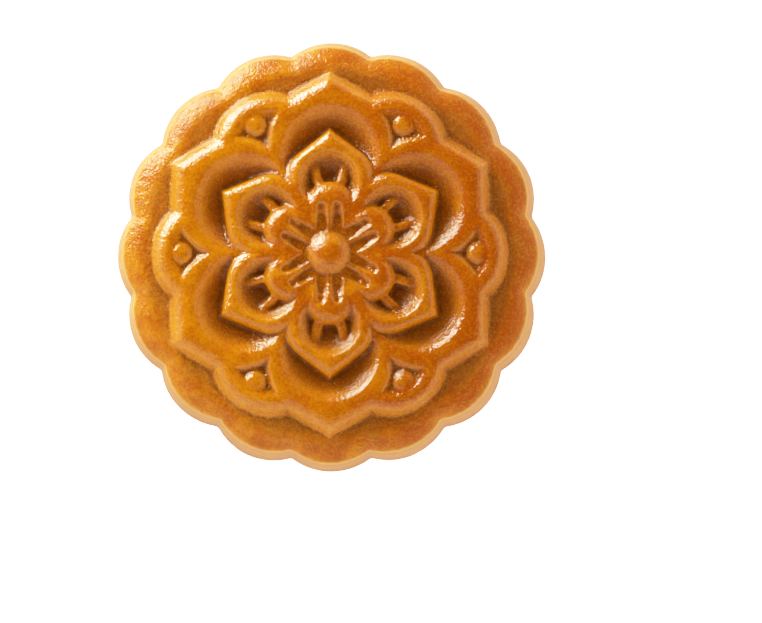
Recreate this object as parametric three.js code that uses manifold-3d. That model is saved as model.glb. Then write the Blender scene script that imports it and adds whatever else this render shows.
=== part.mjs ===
// A lotus seed mooncake: a scalloped cake of moulded, glazed and baked dough, with a flower on its top.
// It lies on its flat base with the flower up. Millimetres, +Z up, origin in the middle of the base.

import * as THREE from "three";
import { mergeVertices } from "three/addons/utils/BufferGeometryUtils.js";
import Module from "manifold-3d";

const wasm = await Module();
wasm.setup();

// Side of the cake
const CAKE_RADIUS = 34; // over the scallop crests, at the belly
const SCALLOPS = 16;
const SCALLOP_ARC = 10.1; // radius of one scallop's arc
const BASE_INSET = 3.2; // the flat base stands in from the belly by this much
const BELLY_HEIGHT = 10;
const SHOULDER_INSET = 1.6; // the side leans in this much from the belly to the shoulder
const SHOULDER_HEIGHT = 17.7;

// Band round the flower: a soft lip along the scallops, then a dip to the foot of the plate
const LIP_INSET = 2.6;
const LIP_HEIGHT = 18.75;
const CHANNEL_INSET = 5;
const CHANNEL_HEIGHT = 18.3;

// Raised plate that carries the flower: six pointed lobes with six round ones between
const PETALS = 6;
const PLATE_HEIGHT = 20.9;
const PLATE_TIP_RADIUS = 28.5;
const PLATE_ROUND_RADIUS = 27.8;
const PLATE_NOTCH_RADIUS = 25.7;
const PLATE_EDGE = { width: 1.9, drop: 1.0 };

// Hollow of each large petal: the lower part of an ellipsoid, whose middle is lifted above the surface
const HOLLOW = { distance: 15.4, radius: 7.9, depth: 2.6, lift: 0.2 };

// Bead in a three-cornered recess, in the middle of each round lobe
const RECESS = { outer: 6.4, side: 9.85, sideDistance: 17.2, depth: 1.5, flare: 0.2 };
const BEAD = { distance: 23.4, radius: 1.65, height: 21 };

// Ring of six pointed petals that stand in the hollows, each with a hollow of its own
const RING_HEIGHT = 21.9;
const RING_TIP = [0, 19.5];
const RING_SHOULDER = [4.9, 15.75];
const RING_CORNER = [6.8, 14.3];
const RING_NOTCH_RADIUS = 13.9;
const RING_EDGE = { width: 0.9, drop: 0.7 };
const RING_HOLLOW = { distance: 11.3, radius: 4.9, depth: 2.5, lift: 0.3 };

// Two short ribs that spread from the flower into each hollow of the ring, each with its two ends
const RIB = { radius: 0.75, inner: [1.75, 11.0, 20.2], outer: [2.35, 13.4, 19.7] };

// Flower of six round petals round a dome, dished towards it, with two grooves in each petal
const FLOWER_HEIGHT = 22.2;
const FLOWER_TIP_RADIUS = 11.2;
const FLOWER_PETAL_RADIUS = 3.85;
const FLOWER_EDGE = { width: 0.8, drop: 0.65 };
const FLOWER_DISH = { distance: 0, radius: 9.6, depth: 2.6, lift: 1.8 };
const GROOVE = { radius: 0.62, inner: [1.35, 3.0, 21.5], outer: [1.35, 7.2, 22.1] };
const DOME = { radius: 3.45, height: 23.2, foot: 21.2 };

// How finely the round shapes are cut
const SCALLOP_STEPS = 6;
const SIDE_STEPS = 5;
const LIP_STEPS = 3;
const EDGE_STEPS = 3;
const CURVE_STEPS = 4;
const HOLLOW_STEPS = 28;
const RING_HOLLOW_STEPS = 20;
const RECESS_STEPS = 36;
const DISH_STEPS = 24;
const DOME_STEPS = 24;
const BEAD_STEPS = 12;
const BAR_STEPS = 8;
const BAR_END_STEPS = 3;

const BURIED = 1; // a raised shape reaches this far into what carries it
const MERGED = 1e-4; // corners closer than this are one corner
const FIRST_PETAL = Math.PI / 2; // the first petal points along +Y
const CAPSULE_AXIS = new THREE.Vector3(0, 1, 0);

// A closed mesh as a solid for joining and cutting, without the triangles that merging its corners shuts.
function solid(geometry) {
  geometry.deleteAttribute("normal");
  geometry.deleteAttribute("uv");
  const merged = mergeVertices(geometry, MERGED);
  const corners = merged.index.array;
  const kept = [];
  for (let i = 0; i < corners.length; i += 3) {
    const [a, b, c] = corners.slice(i, i + 3);
    if (a !== b && b !== c && c !== a) kept.push(a, b, c);
  }
  return new wasm.Manifold(
    new wasm.Mesh({
      numProp: 3,
      vertProperties: merged.attributes.position.array,
      triVerts: new Uint32Array(kept),
    }),
  );
}

// The faces of a solid as a mesh geometry.
function geometryOf(shape) {
  const mesh = shape.getMesh();
  const geometry = new THREE.BufferGeometry();
  geometry.setAttribute("position", new THREE.BufferAttribute(mesh.vertProperties, 3));
  geometry.setIndex(new THREE.BufferAttribute(mesh.triVerts, 1));
  geometry.computeVertexNormals();
  return geometry;
}

const joined = (shapes) => shapes.reduce((all, shape) => all.add(shape));

const polar = (radius, angle) => [radius * Math.cos(angle), radius * Math.sin(angle)];

// A point of a petal's own frame, where +Y runs outwards along the petal, turned to the petal's direction.
function turned([x, y], direction) {
  const angle = direction - Math.PI / 2;
  return [
    x * Math.cos(angle) - y * Math.sin(angle),
    x * Math.sin(angle) + y * Math.cos(angle),
  ];
}

const petalDirections = (offset = 0) =>
  Array.from({ length: PETALS }, (_, i) => FIRST_PETAL + ((i + offset) * 2 * Math.PI) / PETALS);

// A shape made in each petal's direction, or with an offset of a half, between the petals.
const roundThePetals = (make, offset = 0) => joined(petalDirections(offset).map(make));

// An outline raised from the channel's level to a height, with a rounded shoulder along its top edge.
function raised(outline, top, edge) {
  const bottom = CHANNEL_HEIGHT - BURIED;
  const geometry = new THREE.ExtrudeGeometry(outline, {
    depth: top - bottom - edge.drop,
    curveSegments: CURVE_STEPS,
    bevelEnabled: true,
    bevelThickness: edge.drop,
    bevelSize: edge.width,
    bevelOffset: -edge.width,
    bevelSegments: EDGE_STEPS,
  });
  return solid(geometry.translate(0, 0, bottom));
}

// A ball squashed to a radius and a half height, with its middle at a distance along a direction.
function ellipsoid(radius, halfHeight, distance, direction, z, steps) {
  const [x, y] = polar(distance, direction);
  const geometry = new THREE.SphereGeometry(1, steps, steps / 2);
  geometry.rotateX(Math.PI / 2);
  geometry.scale(radius, radius, halfHeight);
  return solid(geometry.translate(x, y, z));
}

// What cuts a petal's hollow out of a level surface.
const hollowIn = (surface, { radius, depth, distance, lift }, steps) => (direction) =>
  ellipsoid(radius, depth, distance, direction, surface + lift, steps);

// A round bar between two points of a petal's own frame, across, along and above it.
function bar(inner, outer, radius, direction) {
  const start = new THREE.Vector3(...inner);
  const end = new THREE.Vector3(...outer);
  const run = end.clone().sub(start);
  const middle = start.add(end).divideScalar(2);
  const geometry = new THREE.CapsuleGeometry(radius, run.length(), BAR_END_STEPS, BAR_STEPS, 1);
  geometry.applyQuaternion(new THREE.Quaternion().setFromUnitVectors(CAPSULE_AXIS, run.normalize()));
  geometry.translate(middle.x, middle.y, middle.z);
  geometry.rotateZ(direction - Math.PI / 2);
  return solid(geometry);
}

// A bar on either side of a petal's middle line.
function pairOfBars({ radius, inner, outer }, direction) {
  const mirror = ([across, along, height]) => [-across, along, height];
  return bar(inner, outer, radius, direction).add(bar(mirror(inner), mirror(outer), radius, direction));
}

// How far the scalloped edge reaches in a direction, as a share of the crest's reach.
function scallop(angle) {
  const turn = (2 * Math.PI) / SCALLOPS;
  const fromCrest = angle - turn * Math.round(angle / turn);
  const centre = CAKE_RADIUS - SCALLOP_ARC;
  const reach =
    centre * Math.cos(fromCrest) + Math.sqrt(SCALLOP_ARC ** 2 - (centre * Math.sin(fromCrest)) ** 2);
  return reach / CAKE_RADIUS;
}

// A quarter of an ellipse between two points of the profile, level at the first and upright at the second.
function quarterRound([firstRadius, firstHeight], [secondRadius, secondHeight], steps) {
  return Array.from({ length: steps + 1 }, (_, i) => {
    const turn = ((i / steps) * Math.PI) / 2;
    return [
      firstRadius + (secondRadius - firstRadius) * Math.sin(turn),
      secondHeight - (secondHeight - firstHeight) * Math.cos(turn),
    ];
  });
}

// The side between belly and shoulder, where it leans in more and more.
function leaningSide() {
  return Array.from({ length: SIDE_STEPS - 1 }, (_, i) => {
    const rise = (i + 1) / SIDE_STEPS;
    return [
      CAKE_RADIUS - SHOULDER_INSET * rise ** 2,
      THREE.MathUtils.lerp(BELLY_HEIGHT, SHOULDER_HEIGHT, rise),
    ];
  });
}

// The cake below the flower: a turned profile, drawn in at the notches between the scallops.
function body() {
  const foot = [CAKE_RADIUS - BASE_INSET, 0];
  const belly = [CAKE_RADIUS, BELLY_HEIGHT];
  const shoulder = [CAKE_RADIUS - SHOULDER_INSET, SHOULDER_HEIGHT];
  const lip = [CAKE_RADIUS - LIP_INSET, LIP_HEIGHT];
  const profile = [
    [0, 0],
    ...quarterRound(foot, belly, SIDE_STEPS),
    ...leaningSide(),
    ...quarterRound(lip, shoulder, LIP_STEPS).reverse(),
    [CAKE_RADIUS - CHANNEL_INSET, CHANNEL_HEIGHT],
    [0, CHANNEL_HEIGHT],
  ];
  const points = profile.map(([radius, height]) => new THREE.Vector2(radius, height));
  const geometry = new THREE.LatheGeometry(points, SCALLOPS * SCALLOP_STEPS);
  geometry.rotateX(Math.PI / 2);
  const position = geometry.getAttribute("position");
  for (let i = 0; i < position.count; i++) {
    const share = scallop(Math.atan2(position.getY(i), position.getX(i)));
    position.setX(i, position.getX(i) * share);
    position.setY(i, position.getY(i) * share);
  }
  return solid(geometry);
}

// The circle of a round lobe, through its crest and the notches on either side of it.
function lobeCircle() {
  const halfTurn = Math.PI / (2 * PETALS);
  const [along, across] = polar(PLATE_NOTCH_RADIUS, halfTurn);
  const centre = (PLATE_ROUND_RADIUS ** 2 - PLATE_NOTCH_RADIUS ** 2) / (2 * (PLATE_ROUND_RADIUS - along));
  return { centre, radius: PLATE_ROUND_RADIUS - centre, halfAngle: Math.atan2(across, along - centre) };
}

function plateOutline() {
  const halfTurn = Math.PI / (2 * PETALS);
  const lobe = lobeCircle();
  const outline = new THREE.Shape();
  petalDirections().forEach((direction, i) => {
    if (i === 0) outline.moveTo(...polar(PLATE_NOTCH_RADIUS, direction - halfTurn));
    outline.lineTo(...polar(PLATE_TIP_RADIUS, direction));
    outline.lineTo(...polar(PLATE_NOTCH_RADIUS, direction + halfTurn));
    const round = direction + 2 * halfTurn;
    outline.absarc(
      ...polar(lobe.centre, round),
      lobe.radius,
      round - lobe.halfAngle,
      round + lobe.halfAngle,
      false,
    );
  });
  return outline;
}

// The recess round a bead: what a round lobe's rim and the rims of the two petals beside it leave free.
function recess(direction) {
  // A round wall about the plate's top, that widens upwards by a flare for each millimetre
  const wall = (radius, flare, reach, distance, towards) =>
    solid(
      new THREE.CylinderGeometry(radius + flare * reach, radius - flare * reach, 2 * reach, RECESS_STEPS)
        .rotateX(Math.PI / 2)
        .translate(...polar(distance, towards), PLATE_HEIGHT),
    );
  const besidePetal = (towards) =>
    wall(RECESS.side, -RECESS.flare, 2 * RECESS.depth, RECESS.sideDistance, towards);
  return wall(RECESS.outer, RECESS.flare, RECESS.depth, lobeCircle().centre, direction)
    .subtract(besidePetal(direction - Math.PI / PETALS))
    .subtract(besidePetal(direction + Math.PI / PETALS));
}

function bead(direction) {
  const floor = PLATE_HEIGHT - RECESS.depth;
  return ellipsoid(BEAD.radius, BEAD.height - floor, BEAD.distance, direction, floor, BEAD_STEPS);
}

function plate() {
  return raised(plateOutline(), PLATE_HEIGHT, PLATE_EDGE)
    .subtract(roundThePetals(hollowIn(PLATE_HEIGHT, HOLLOW, HOLLOW_STEPS)))
    .subtract(roundThePetals(recess, 0.5))
    .add(roundThePetals(bead, 0.5));
}

function ringOutline() {
  const outline = new THREE.Shape();
  const mirror = ([x, y]) => [-x, y];
  petalDirections().forEach((direction, i) => {
    if (i === 0) outline.moveTo(...polar(RING_NOTCH_RADIUS, direction - Math.PI / PETALS));
    outline.quadraticCurveTo(...turned(RING_CORNER, direction), ...turned(RING_SHOULDER, direction));
    outline.lineTo(...turned(RING_TIP, direction));
    outline.lineTo(...turned(mirror(RING_SHOULDER), direction));
    outline.quadraticCurveTo(
      ...turned(mirror(RING_CORNER), direction),
      ...polar(RING_NOTCH_RADIUS, direction + Math.PI / PETALS),
    );
  });
  return outline;
}

function ring() {
  return raised(ringOutline(), RING_HEIGHT, RING_EDGE)
    .subtract(roundThePetals(hollowIn(RING_HEIGHT, RING_HOLLOW, RING_HOLLOW_STEPS)))
    .add(roundThePetals((direction) => pairOfBars(RIB, direction)));
}

function flowerOutline() {
  const centre = FLOWER_TIP_RADIUS - FLOWER_PETAL_RADIUS;
  const [along, across] = polar(centre, Math.PI / PETALS);
  const notch = along + Math.sqrt(FLOWER_PETAL_RADIUS ** 2 - across ** 2);
  const [notchAlong, notchAcross] = polar(notch, Math.PI / PETALS);
  const halfAngle = Math.atan2(notchAcross, notchAlong - centre);
  const outline = new THREE.Shape();
  petalDirections().forEach((direction, i) => {
    if (i === 0) outline.moveTo(...polar(notch, direction - Math.PI / PETALS));
    outline.absarc(
      ...polar(centre, direction),
      FLOWER_PETAL_RADIUS,
      direction - halfAngle,
      direction + halfAngle,
      false,
    );
  });
  return outline;
}

const flower = () => raised(flowerOutline(), FLOWER_HEIGHT, FLOWER_EDGE);

// The whole cake. The flower's dish and grooves reach down into the ring, so they are cut once all is joined.
function cake() {
  const dish = hollowIn(FLOWER_HEIGHT, FLOWER_DISH, DISH_STEPS)(FIRST_PETAL);
  const grooves = roundThePetals((direction) => pairOfBars(GROOVE, direction));
  const dome = ellipsoid(DOME.radius, DOME.height - DOME.foot, 0, 0, DOME.foot, DOME_STEPS);
  return joined([body(), plate(), ring(), flower()]).subtract(dish).subtract(grooves).add(dome);
}

const crust = new THREE.MeshStandardMaterial({
  name: "baked_crust",
  color: 0xc9760f,
  roughness: 0.35,
  metalness: 0,
});

const mooncake = new THREE.Group();
const cakeMesh = new THREE.Mesh(geometryOf(cake()), crust);
cakeMesh.name = "mooncake";
mooncake.add(cakeMesh);

export default mooncake;
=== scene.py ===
"""A lotus seed mooncake with a flower pressed into its glazed crust, laid out as a Blender add-on."""

import math

import bpy
import numpy as np
from bpy.props import FloatProperty, FloatVectorProperty, IntProperty, PointerProperty
from bpy.types import Operator, Panel, PropertyGroup
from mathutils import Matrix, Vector


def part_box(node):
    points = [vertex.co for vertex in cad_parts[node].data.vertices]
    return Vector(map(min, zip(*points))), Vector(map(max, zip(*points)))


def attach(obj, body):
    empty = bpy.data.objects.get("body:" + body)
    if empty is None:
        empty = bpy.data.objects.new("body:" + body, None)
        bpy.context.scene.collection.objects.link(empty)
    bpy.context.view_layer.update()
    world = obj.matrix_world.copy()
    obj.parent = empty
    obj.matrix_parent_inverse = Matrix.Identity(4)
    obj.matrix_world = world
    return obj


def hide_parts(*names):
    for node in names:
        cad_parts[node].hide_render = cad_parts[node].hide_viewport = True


bl_info = {
    "name": "Lotus Seed Mooncake",
    "version": (1, 0, 0),
    "blender": (4, 5, 0),
    "location": "View3D > Sidebar > Mooncake",
    "description": "Models a glazed mooncake with a flower on its top, and its stage",
    "category": "Add Mesh",
}

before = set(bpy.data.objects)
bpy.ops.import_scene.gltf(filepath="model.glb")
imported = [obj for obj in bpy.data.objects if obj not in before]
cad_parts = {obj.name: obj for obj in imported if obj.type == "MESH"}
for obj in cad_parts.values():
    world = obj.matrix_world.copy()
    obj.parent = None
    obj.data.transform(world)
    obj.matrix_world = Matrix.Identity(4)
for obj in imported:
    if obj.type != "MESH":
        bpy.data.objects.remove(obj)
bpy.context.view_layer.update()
LOW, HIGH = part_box("mooncake")
CAKE_RADIUS = (HIGH.x - LOW.x) / 2
CAKE_HEIGHT = HIGH.z

MM = 0.001
UP = Vector((0, 0, 1))
PETALS = 6
PETAL_TURN = 2 * math.pi / PETALS
FIRST_PETAL = math.pi / 2
FIRST_LOBE = FIRST_PETAL + PETAL_TURN / 2
RAISED_PARTS = ("cake_body", "flower_plate", "petal_ring", "ribs", "flower")

# How finely the shapes are drawn before they are merged into one crust
SCALLOP_STEPS = 16
PILLOW_STEEPNESS = 1.6
SIDE_STEPS = 14
LIP_STEPS = 8
SHOULDER_STEPS = 10
ARC_STEPS = 20
CURVE_STEPS = 10
WALL_SEGMENTS = 96
BALL_SEGMENTS = 72
BALL_RINGS = 48
BAR_SEGMENTS = 24
BAR_RINGS = 16
HOLLOW_STEPS = 24
HOLLOW_STEEPNESS = 3
BURIED = 1.2 * MM

# How the crust is baked, softened and measured
BASE_STAYS_FLAT = (0.3 * MM, 4 * MM)
COARSE_BELOW_CHANNEL = (2 * MM, 1 * MM)
SWELL_SIZE = 14 * MM
DIMPLE_SIZE = 1.4 * MM
NEAR_ROUNDS = 24
WIDE_ROUNDS = 220

# Sizes of the crust's patterns in millimetres, and how rough the rough ones are
CLOUD_SIZE = 4
SPECKLE_SIZE = 0.38
GRAIN_SIZE = 0.8
STREAK_SIZE = 1.2
BLUSH_SIZE = 2.2
POOL_SIZE = 3
BAKED_SIZE = 6
ROUGH = 0.6
LAYERS = (1, 1, 5)

# From where to where the crust changes: distances from the middle, then heights, in millimetres
SMALL_PETALS = (12.5, 10)
PLATE_EDGE = (24, 27)
CHANNEL_REACH = (30.5, 27.3)
# Painted light: from right to left the channel goes from its shaded tan to its lit tan
CHANNEL_SHADE_SPAN = (-18, 18)
FLOWER_HEIGHTS = (20.2, 20.8)
BAND_HEIGHTS = (19.4, 18.6)
RIM_HEIGHTS = (17.6, 16.8)
SIDE_HEIGHTS = (16.9, 15.9)
CREASE_BELOW = (16.3, 16.8)
CREASE_ABOVE = (17.2, 16.8)
PALE_HEIGHTS = (9, 15.5)

# The same for how far the crust stands out, near and wide, for its slope and for its patterns
EDGE_RELIEF = (0.05, 0.2)
CORNER_RELIEF = (-0.04, -0.22)
LOW_RISE = (0.1, -0.6)
DEEP_RISE = (-0.6, -1.6)
BARE_RISE = (-0.3, -1.0)
SLOPES = (0.06, 0.3)
# Real browning in clouds, mixed with painted light: the crust is painted lighter towards the key light on
# the left
BROWNING_AND_LIGHT = (6, 32)
SIDE_BROWNING = (4, -6)
BLUSH = (0.42, 0.62)
POOLS = (0.42, 0.6)
LIGHT_SPECKS = (0.5, 0.65)
DARK_SPECKS = (0.5, 0.35)

# How far the patterns move the borders of the tones
RAGGED_HEIGHTS = 0.3
RAGGED_RELIEF = 0.1
RAGGED_CHANNEL = 5
CLOUDED_CHANNEL = 6
STREAKED_DEPTHS = 2
CLOUDED_SIDE = 12
CLOUDED_PALE = 5
UNBROWNED_BY_CLOUD = 40
# Painted light: how much lighter the crust is painted for each millimetre towards the key light on the left
LIT_LEFTWARD = 0.6
SMALL_PETAL_BLUSH = 0.1

# How much each tone covers the ones that are laid before it
# Golden edges: the glaze runs thin there, and painted light stands for the light that the edges catch
GOLDEN_EDGES = 0.4
BLUSH_COVER = 0.35
AMBER_SLOPES = 0.5
# Partly painted shade: how much the hollows are darkened, less on the flower
HOLLOW_COVER = 0.85
HOLLOW_LESS_ON_FLOWER = 0.5
POOL_COVER = 0.5
CHANNEL_COVER = 0.8
# Painted shade: how much the depths of the hollows and the foot of every wall are darkened
SHADE_DEPTHS = 0.8
SHADE_CORNERS = 0.85
SHADE_LESS_OUTSIDE = 0.05
SHADE_LESS_ON_FLOWER = 0.25
GOLDEN_SPECKS = 0.2
DEEP_SPECKS = 0.35
GOLDEN_RIM = 0.25
PALER_SIDE = 0.6
# Painted highlight: how strongly the thin light line where the side meets the band is laid
CREASE_HIGHLIGHT_COVER = 0.7

# The finest relief in millimetres, the gloss of the glaze, and how bare of it the crust is
SPECKLE_BUMP = 0.1
GRAIN_BUMP = 0.1
STREAK_BUMP = 0.24
GLAZE_ROUGHNESS = 0.05
LOW_ROUGHNESS = 0.07
UNEVEN_ROUGHNESS = 0.1
BARE_BAND = 0.55
BARE_DEPTHS = 0.2

# The stage, in metres, and how softly its parts end in the glaze
FLOOR_SIZE = 6
SENSOR_WIDTH = 36  # millimetres
LAMP_SIZE = 0.16
LAMP_DISTANCE = 0.32
TABLE_SOFTNESS = 0.045
WALL_SOFTNESS = 0.05
SOFTBOX_OUTER = 1.1
SOFTBOX_INNER = 0.8
SIDEWAYS = (0.8, 0.5)

# The light that is shown as white, and how bright the light below it is shown
BRIGHTEST = 2.0
SHOULDER = ((0.45, 0.45), (0.6, 0.58), (0.8, 0.72), (1.0, 0.82), (1.3, 0.91), (1.6, 0.96))


def length(name, description, millimetres):
    """A size that a user can change, in the scene's unit of length."""
    return FloatProperty(name=name, description=description, default=millimetres * MM, min=0, unit="LENGTH")


def share(name, description, default):
    return FloatProperty(
        name=name, description=description, default=default, min=0, max=1, subtype="FACTOR"
    )


def angle(name, description, degrees):
    return FloatProperty(name=name, description=description, default=math.radians(degrees), subtype="ANGLE")


def number(name, description, default):
    return FloatProperty(name=name, description=description, default=default, min=0)


def count(name, description, default, least):
    return IntProperty(name=name, description=description, default=default, min=least)


def point(name, description, millimetres):
    """A point that a user can move: across, along and above a petal, or in the scene."""
    return FloatVectorProperty(
        name=name, description=description, default=[value * MM for value in millimetres],
        subtype="XYZ", unit="LENGTH",
    )


def colour(name, description, default):
    return FloatVectorProperty(
        name=name, description=description, default=default, size=3, min=0, max=1, subtype="COLOR"
    )


class MooncakeBodySizes(PropertyGroup):
    scallops: count("Scallops", "Scallops round the side", 16, least=3)
    scallop_arc: length("Scallop radius", "Radius of the arc of one scallop", 10.1)
    base_inset: length("Base inset", "How far the flat base stands in from the belly", 3.2)
    belly_height: length("Belly height", "Height at which the cake is widest", 10)
    shoulder_inset: length("Shoulder inset", "How far the side leans in up to its shoulder", 1.2)
    shoulder_height: length("Shoulder height", "Height at which the side ends", 16.8)
    lip_inset: length("Lip inset", "From the belly to the band's highest line", 4.6)
    lip_height: length("Lip height", "Highest line of the band round the flower", 18.6)
    channel_inset: length("Channel inset", "From the belly to the band's lowest line", 6.2)
    channel_height: length("Channel height", "Lowest line of the band, at the foot of the plate", 18.2)
    merging: share("Merging", "How much the scallops fade at each step inwards", 0.12)


class MooncakePlateSizes(PropertyGroup):
    height: length("Height", "Height of the plate's level top", 21.2)
    tip: length("Tip radius", "Reach of the six pointed lobes", 28.5)
    crest: length("Round lobe radius", "Reach of the six round lobes", 27.8)
    notch: length("Notch radius", "Reach of the notches between the lobes", 25.7)
    foot: length("Foot", "How far the wall's foot stands out", 0.4)
    draft: length("Draft", "How far the wall leans in from its foot", 1.0)
    edge_radius: length("Edge radius", "Radius of the rounded shoulder", 2.9)
    edge_slope: angle("Edge slope", "Slope at which the shoulder starts", 57)
    hollow_distance: length("Hollow distance", "Middle of a petal's hollow", 15.4)
    hollow_radius: length("Hollow radius", "Radius of a petal's hollow", 7.7)
    hollow_depth: length("Hollow depth", "Depth of a petal's hollow", 3.1)
    hollow_rim: length("Hollow rim", "Width of the hollow's rounded rim", 1.0)
    recess_radius: length("Recess radius", "Outer wall of the recess round a bead", 6.4)
    recess_side: length("Recess side", "Radius of the petal rims beside a recess", 9.1)
    recess_side_distance: length("Recess side distance", "Middle of the petal rims beside a recess", 17.2)
    recess_depth: length("Recess depth", "Depth of the recess round a bead", 1.2)
    recess_flare: share("Recess flare", "How much the walls of a recess lean back", 1.0)
    bead_distance: length("Bead distance", "Middle of a bead", 23.2)
    bead_radius: length("Bead radius", "Radius of a bead", 1.85)
    bead_height: length("Bead height", "Top of a bead", 21.3)


class MooncakeRingSizes(PropertyGroup):
    height: length("Height", "Height of the ring's level top", 21.9)
    tip: length("Tip radius", "Reach of the six pointed petals", 19.5)
    shoulder_across: length("Shoulder across", "Half width where a petal's point begins", 4.9)
    shoulder_along: length("Shoulder along", "Distance where a petal's point begins", 15.75)
    corner_across: length("Corner across", "Half width towards which a petal's side bends", 6.8)
    corner_along: length("Corner along", "Distance towards which a petal's side bends", 14.3)
    notch: length("Notch radius", "Reach of the notches between the petals", 13.9)
    foot: length("Foot", "How far the wall's foot stands out", 0.3)
    draft: length("Draft", "How far the wall leans in from its foot", 0.4)
    edge_radius: length("Edge radius", "Radius of the rounded shoulder", 2.2)
    edge_slope: angle("Edge slope", "Slope at which the shoulder starts", 62)
    hollow_distance: length("Hollow distance", "Middle of a petal's hollow", 11.3)
    hollow_radius: length("Hollow radius", "Radius of a petal's hollow", 4.8)
    hollow_depth: length("Hollow depth", "Depth of a petal's hollow", 2.6)
    hollow_rim: length("Hollow rim", "Width of the hollow's rounded rim", 0.7)
    well: length("Well radius", "Radius of the well that the flower fills", 6.8)
    well_floor: length("Well floor", "Height of the well's floor", 20)
    rib_radius: length("Rib radius", "Radius of the two ribs in a hollow", 0.75)
    rib_start: point("Rib start", "Inner end of a rib", (1.75, 11.0, 20.2))
    rib_end: point("Rib end", "Outer end of a rib", (2.35, 13.4, 19.7))


class MooncakeFlowerSizes(PropertyGroup):
    height: length("Height", "Height of a petal's top before it is dished", 22.3)
    tip: length("Tip radius", "Reach of the six round petals", 11.2)
    petal: length("Petal radius", "Radius of a petal's round end", 4.0)
    foot: length("Foot", "How far the wall's foot stands out", 0.3)
    draft: length("Draft", "How far the wall leans in from its foot", 0.4)
    edge_radius: length("Edge radius", "Radius of the rounded shoulder", 2.5)
    edge_slope: angle("Edge slope", "Slope at which the shoulder starts", 65)
    disc_radius: length("Disc radius", "Radius of the disc that joins the petals", 6.9)
    disc_height: length("Disc height", "Height of the disc that joins the petals", 21.8)
    dish_radius: length("Dish radius", "Radius of the ball that presses the dish", 9.6)
    dish_depth: length("Dish depth", "Half height of the ball that presses the dish", 2.6)
    dish_lift: length("Dish lift", "Height of that ball's middle over the flower", 1.8)
    groove_radius: length("Groove radius", "Radius of the two grooves in a petal", 1.0)
    groove_start: point("Groove start", "Inner end of a groove", (1.15, 3.4, 21.45))
    groove_end: point("Groove end", "Outer end of a groove", (1.25, 7.2, 22.6))
    dome_radius: length("Dome radius", "Radius of the dome in the middle", 3.9)


class MooncakeCrustLook(PropertyGroup):
    grain: length("Grain", "Edge of the mesh's faces on the top", 0.27)
    softening: count("Softening", "Rounds of smoothing after the merge", 5, least=0)
    triangles: count("Triangles", "Most triangles in the crust", 190000, least=1000)
    swell: length("Swell", "How far the crust swells unevenly as it bakes", 0.35)
    dimple: length("Dimples", "Depth of the small dimples", 0.05)
    orange: colour("Orange", "Glazed crust on the tops", (0.76, 0.225, 0.002))
    # Deep orange is also laid on the right, away from the key light, as painted shade
    deep: colour("Deep orange", "Where the crust has browned most", (0.46, 0.082, 0.001))
    # Golden over edges is partly painted light, for the light that edges catch; golden specks and the rim
    # are the crust's own tone
    golden: colour("Golden", "Where the glaze runs thin over an edge", (0.84, 0.34, 0.006))
    amber: colour("Amber", "Slopes of the raised parts", (0.68, 0.25, 0.008))
    # The hollows' crust, darkened partly with painted shade and partly by browning
    hollow: colour("Hollow", "Crust in the hollows", (0.39, 0.108, 0.004))
    # Painted light: tan is the channel as lit on the key light's side, and dim tan is the same channel in
    # painted shade on the far side
    tan: colour("Tan", "Channel round the flower on its bright side", (0.74, 0.28, 0.025))
    shaded_tan: colour("Dim tan", "Channel round the flower on its browned side", (0.50, 0.17, 0.018))
    # Painted shade: the dark colour laid in deep corners and in the depths of the hollows
    shade_brown: colour("Brown", "Deep corners", (0.24, 0.065, 0.002))
    side: colour("Side", "Side of the cake, which has no glaze", (0.47, 0.20, 0.055))
    side_brown: colour("Browned side", "Where the side and the base have browned", (0.26, 0.085, 0.016))
    pale: colour("Pale", "Top of that side", (0.62, 0.29, 0.115))
    # Painted highlight: a thin light line where the side meets the band, standing for the glint of that
    # edge
    crease_highlight: colour("Crease", "Thin line where the side meets the band", (0.86, 0.48, 0.19))


class MooncakeStageLook(PropertyGroup):
    distance: length("Camera distance", "From the camera to the cake", 588)
    lens: FloatProperty(
        name="Focal length", description="Focal length of the camera", default=175.6, unit="CAMERA",
    )
    lean_back: angle("Lean", "How far the camera leans towards the viewer", 3)
    lean_right: angle("Sideways lean", "How far the camera leans to the right", 1)
    aim: point("Aim", "Point that the camera looks at", (7.9, -8.7, 12))
    key_power: number("Key light", "Power of the key light in watts", 1.05)
    key_azimuth: angle("Key direction", "Side on which the key light and the softbox hang", 133)
    key_off_axis: angle("Key angle", "Angle of the key light off the upright", 76)
    side_light: number("Side light", "Brightness of the room's sides on the crust", 2.0)
    softbox: number("Softbox", "Brightness of the softbox in the glaze", 29)
    softbox_off_axis: angle("Softbox angle", "Angle of the softbox off the upright", 80)
    softbox_reach: angle("Softbox reach", "Half the angle that the softbox takes up", 25)
    table_light: number("Table light", "Brightness of the table top in the glaze", 1.35)
    table_azimuth: angle("Table direction", "Side on which the table top rises", -112)
    table_rise: angle("Table rise", "Angle off the upright that the table reaches there", 40)
    wall_light: number("Wall light", "Brightness of the pale walls in the glaze", 1.4)
    wall_azimuth: angle("Wall direction", "Side on which the walls rise most", -5)
    wall_rise: angle("Wall rise", "Angle off the upright that the walls reach there", 62)
    warmth: colour("Warmth", "Tint of all that the glaze mirrors", (1.0, 0.93, 0.76))
    room_light: share("Room light", "Brightness of the dim room in the glaze", 0.04)
    floor: colour("Floor", "Colour of the floor", (0.95, 0.95, 0.95))
    floor_glow: share("Floor glow", "Light that the floor adds, so that shadows stay faint", 0.5)
    backdrop: number("Backdrop", "Brightness that the camera sees", 1.8)


# Selecting, modes and modifiers

def deselect():
    bpy.ops.object.select_all(action="DESELECT")


def select_only(*objects):
    """Selects these objects and nothing else, and makes the first one active."""
    deselect()
    for item in objects:
        item.select_set(True)
    bpy.context.view_layer.objects.active = objects[0]


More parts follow.
